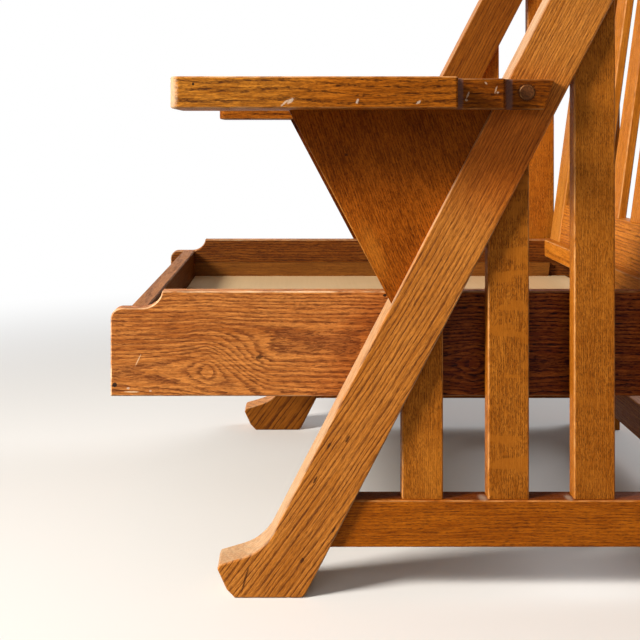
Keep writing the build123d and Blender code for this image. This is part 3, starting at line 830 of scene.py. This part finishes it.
for slat in range(1, BACK_SLATS + 1):
    CROSS_BOARDS[f"back_slat_{slat}"] = (
        UP_THE_BACK,
        THROUGH_THE_BACK,
        dict(ring=0.0032, bands=0.5, flecks=0.5, heart=(0, 0.2, 0)),
    )

# Boards whose faces toward the seat are darkened with painted shade
SHADED_INSIDE = ("leg", "seat_side_rail", "arm_bracket")

# The right leg's narrow faces get little of the pale wear and painted highlight, its inner face
# gets a lighter painted shade, and its inner face is broader in figure
ONE_SIDE = {
    "right_leg": dict(
        worn_and_lit=0.1, inner=(0.46, 0.39, 0.22), ring=0.0080, pores=0.5, figure=(16, 300, 300)
    ),
}

number = 0
for name, (grain, thickness, looks) in SIDE_BOARDS.items():
    for side, inward in (("left", -ALONG_X), ("right", ALONG_X)):
        number += 1
        piece = f"{side}_{name}"
        inner_face = inward if name in SHADED_INSIDE else None
        own_looks = dict(looks, **ONE_SIDE.get(piece, {}))
        dress(piece, oak_finish(piece, grain, thickness, number, inward=inner_face, **own_looks))
for name, (grain, thickness, looks) in CROSS_BOARDS.items():
    number += 1
    dress(name, oak_finish(name, grain, thickness, number, **looks))


# The pale seat deck: its tones, its patterns in repeats a metre, and its varnish
DECK_CREAM = (0.50, 0.34, 0.17)
DECK_PALE = (0.70, 0.51, 0.29)
DECK_CLOUDS = (7, 7, 7)
DECK_GRAIN = (9, 240, 60)
CLOUDS_SHARE = 0.6
GRAIN_SHARE = 0.4
DECK_ROUGHNESS = 0.45
DECK_UNEVENNESS = 0.3
DECK_GLOSS = 0.3
DECK_RELIEF = dict(strength=0.2, depth=0.0003)


def deck_finish():
    """Smooth pale board, faintly clouded, with a fine grain."""
    material, tree, shader = new_finish("seat_deck_finish")
    place = put(tree, "ShaderNodeTexCoord").outputs["Object"]
    clouds = cloud(tree, place, number=5.0, per_metre=DECK_CLOUDS, detail=4.0)
    grain = cloud(tree, place, number=8.0, per_metre=DECK_GRAIN, detail=3.0)
    share = product(tree, clouds, CLOUDS_SHARE)
    share = reckon(tree, "ADD", share, product(tree, grain, GRAIN_SHARE))
    colour = blend(tree, share, DECK_CREAM, DECK_PALE)
    roughness = reckon(tree, "ADD", DECK_ROUGHNESS, product(tree, clouds, DECK_UNEVENNESS))
    coat(tree, shader, colour, roughness, grain, **DECK_RELIEF)
    shader.inputs["Specular IOR Level"].default_value = DECK_GLOSS
    return material


dress("seat_deck", deck_finish())


# Small slotted screws that hold the seat box together, on its inner faces
SCREW_RADIUS = 0.0042
SCREW_RISE = 0.0014
SCREW_STEPS = 20
DOME_STEPS = 4
SLOT_HALF_WIDTH = 0.0006
SLOT_DEPTH = 0.0008
FIRST_SLOT_TURN = 20
NEXT_SLOT_TURN = 57
SCREWS_ALONG_LEDGER = (-0.28, -0.05, 0.18)
SCREWS_AT_LEG = ((-0.085, 0.220), (-0.045, 0.220))
SCREWS_AT_POST = ((0.342, 0.235), (0.342, 0.297))
LOOKS_UP = 0.2
STEEL = (0.38, 0.35, 0.31)
TARNISH = (0.16, 0.10, 0.07)
TARNISH_SIZE = (700, 700, 700)
TARNISH_EDGE = (0.4, 0.62)
STEEL_ROUGHNESS = 0.35
TARNISH_ROUGHNESS = 0.4
SCREW_RELIEF = dict(strength=0.4, depth=0.0002)


def screw_finish():
    """Old steel, tarnished in patches."""
    material, tree, shader = new_finish("screw_finish")
    place = put(tree, "ShaderNodeTexCoord").outputs["Object"]
    tarnish = cloud(tree, place, number=2.0, per_metre=TARNISH_SIZE, detail=3.0)
    tarnish = ramp_between(tree, tarnish, *TARNISH_EDGE)
    colour = blend(tree, tarnish, STEEL, TARNISH)
    roughness = product(tree, tarnish, TARNISH_ROUGHNESS)
    roughness = reckon(tree, "ADD", STEEL_ROUGHNESS, roughness)
    coat(tree, shader, colour, roughness, tarnish, **SCREW_RELIEF)
    shader.inputs["Metallic"].default_value = 1.0
    return material


def add_screw_head(plan, turn, seat):
    """A domed head with a slot, turned to face out of the wood and set on its place."""
    head = bmesh.new()
    dome = []
    for step in range(DOME_STEPS + 1):
        angle = step / DOME_STEPS * pi / 2
        dome.append(head.verts.new((SCREW_RADIUS * cos(angle), 0, SCREW_RISE * sin(angle))))
    edges = [head.edges.new(pair) for pair in zip(dome, dome[1:])]
    bmesh.ops.spin(
        head,
        geom=dome + edges,
        axis=(0, 0, 1),
        cent=(0, 0, 0),
        angle=2 * pi,
        steps=SCREW_STEPS,
        use_merge=True,
    )
    bmesh.ops.remove_doubles(head, verts=head.verts, dist=1e-6)
    bmesh.ops.holes_fill(head, edges=[edge for edge in head.edges if edge.is_boundary])
    for side in (-1, 1):
        bmesh.ops.bisect_plane(
            head,
            geom=head.verts[:] + head.edges[:] + head.faces[:],
            plane_co=(0, side * SLOT_HALF_WIDTH, 0),
            plane_no=(0, 1, 0),
        )
    bmesh.ops.recalc_face_normals(head, faces=head.faces)
    slot = [
        face
        for face in head.faces
        if face.normal.z > LOOKS_UP and abs(face.calc_center_median().y) < SLOT_HALF_WIDTH
    ]
    sunk = bmesh.ops.extrude_face_region(head, geom=slot)["geom"]
    bmesh.ops.delete(head, geom=slot, context="FACES")
    sunk = [part for part in sunk if isinstance(part, bmesh.types.BMVert)]
    bmesh.ops.translate(head, verts=sunk, vec=(0, 0, -SLOT_DEPTH))
    bmesh.ops.transform(head, matrix=Matrix.Translation(seat) @ turn.to_4x4(), verts=head.verts)
    finished = bpy.data.meshes.new("screw_head")
    head.to_mesh(finished)
    head.free()
    plan.from_mesh(finished)
    bpy.data.meshes.remove(finished)


def new_piece(name, plan, material):
    """An object from a finished plan, at the origin, with its material."""
    mesh = bpy.data.meshes.new(name)
    plan.to_mesh(mesh)
    plan.free()
    mesh.materials.append(material)
    piece = bpy.data.objects.new(name, mesh)
    bpy.context.scene.collection.objects.link(piece)
    return piece


def seat_screws(side, outward):
    """The screws of one side: three through the ledger, two at the leg and two at the post."""
    ledger_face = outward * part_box("left_deck_ledger")[0].x
    rail_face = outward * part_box("left_seat_side_rail")[0].x
    ledger_height = board_middle("left_deck_ledger").z
    places = [(ledger_face, y, ledger_height) for y in SCREWS_ALONG_LEDGER]
    places += [(rail_face, y, z) for y, z in SCREWS_AT_LEG + SCREWS_AT_POST]
    facing = Vector((-outward, 0, 0)).to_track_quat("Z", "Y").to_matrix()
    plan = bmesh.new()
    for count, place in enumerate(places):
        slot_turn = radians(FIRST_SLOT_TURN + NEXT_SLOT_TURN * count)
        turn = facing @ Matrix.Rotation(slot_turn, 3, "Z")
        add_screw_head(plan, turn, Vector(place))
    screws = new_piece(f"{side}_seat_screws", plan, screw_steel)
    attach(screws, "root")


screw_steel = screw_finish()
seat_screws("left", 1)
seat_screws("right", -1)


# Floor, light and camera. The floor is pale to the eye and sends less light up under the chair.
FLOOR_SEEN = (0.80, 0.79, 0.775)
FLOOR_BOUNCE = (0.30, 0.28, 0.25)
FLOOR_ROUGHNESS = 0.7
FLOOR_HALF_SIZE = 30
FLOOR_WHITENS = (0.7, 2.0)
WHITE = (1, 1, 1, 1)
STUDIO_TINT = (1.0, 0.985, 0.965, 1)
STUDIO_STRENGTH = 0.16
LAMPS = {
    "key_lamp": dict(
        place=(1.75, -3.1, 2.2), aim=(0.35, -0.1, 0.35), size=0.9, watts=52,
        tint=(1.0, 0.95, 0.88), spread=80
    ),
    "side_lamp": dict(
        place=(3.0, -0.9, 1.9), aim=(0, 0, 0.4), size=1.6, watts=14, tint=(1.0, 0.98, 0.95)
    ),
    "rear_lamp": dict(
        place=(-1.5, 2.4, 2.0), aim=(0, 0, 0.4), size=1.4, watts=45, tint=(0.97, 0.98, 1.0)
    ),
}
CAMERA_PLACE = (1.4485, -0.175, 0.5005)
CAMERA_LENS = 57.8
CAMERA_SHIFT = (0.0422, -0.2891)


def seen_directly(tree):
    """One for the rays of the camera, of gloss and of glass, and nothing for the light's."""
    path = tree.nodes.new("ShaderNodeLightPath").outputs
    seen = reckon(tree, "MAXIMUM", path["Is Camera Ray"], path["Is Glossy Ray"])
    return reckon(tree, "MAXIMUM", seen, path["Is Transmission Ray"])


def mix_shaders(tree, share, first, second, target):
    """Two shaders mixed by a share, and led to the surface of a target node."""
    mix = put(tree, "ShaderNodeMixShader", Fac=share)
    feed(tree, first.outputs[0], mix.inputs[1])
    feed(tree, second.outputs[0], mix.inputs[2])
    feed(tree, mix.outputs[0], tree.nodes[target].inputs["Surface"])


def floor_finish():
    """A pale floor that keeps the chair's shadow and goes to white in the distance."""
    material, tree, shader = new_finish("floor_finish")
    seen = seen_directly(tree)
    feed(tree, blend(tree, seen, FLOOR_BOUNCE, FLOOR_SEEN), shader.inputs["Base Color"])
    shader.inputs["Roughness"].default_value = FLOOR_ROUGHNESS
    place = put(tree, "ShaderNodeTexCoord").outputs["Object"]
    far = ramp_between(tree, reckon_vector(tree, "LENGTH", place), *FLOOR_WHITENS)
    white = put(tree, "ShaderNodeEmission", Color=WHITE, Strength=1.0)
    mix_shaders(tree, product(tree, far, seen), shader, white, "Material Output")
    return material


def lay_floor():
    """A wide flat floor under the chair."""
    plan = bmesh.new()
    bmesh.ops.create_grid(plan, x_segments=1, y_segments=1, size=FLOOR_HALF_SIZE)
    floor = new_piece("floor", plan, floor_finish())


def light_world():
    """Soft light from all round, white where the camera sees it."""
    world = bpy.data.worlds.new("studio")
    bpy.context.scene.world = world
    world.use_nodes = True
    tree = world.node_tree
    lit = tree.nodes["Background"]
    lit.inputs["Color"].default_value = STUDIO_TINT
    lit.inputs["Strength"].default_value = STUDIO_STRENGTH
    white = put(tree, "ShaderNodeBackground", Color=WHITE, Strength=1.0)
    mix_shaders(tree, seen_directly(tree), lit, white, "World Output")


def hang_lamp(name, place, aim, size, watts, tint, spread=180):
    """A square lamp that hangs at a place and shines at an aim."""
    lamp = bpy.data.lights.new(name, "AREA")
    lamp.shape = "SQUARE"
    lamp.size = size
    lamp.energy = watts
    lamp.color = tint
    lamp.spread = radians(spread)
    holder = bpy.data.objects.new(name, lamp)
    holder.location = place
    holder.rotation_euler = (Vector(aim) - Vector(place)).to_track_quat("-Z", "Y").to_euler()
    bpy.context.scene.collection.objects.link(holder)


def set_camera():
    """The photograph's camera: level, square to the chair's side, framed off its axis."""
    lens = bpy.data.cameras.new("photo_camera")
    lens.sensor_width = 36
    lens.lens = CAMERA_LENS
    lens.shift_x, lens.shift_y = CAMERA_SHIFT
    lens.clip_start = 0.05
    holder = bpy.data.objects.new("photo_camera", lens)
    holder.location = CAMERA_PLACE
    holder.rotation_euler = (radians(90), 0, radians(90))
    bpy.context.scene.collection.objects.link(holder)
    bpy.context.scene.camera = holder


lay_floor()
light_world()
for name, lamp in LAMPS.items():
    hang_lamp(name, **lamp)
set_camera()
bpy.context.scene.view_settings.view_transform = "Standard"
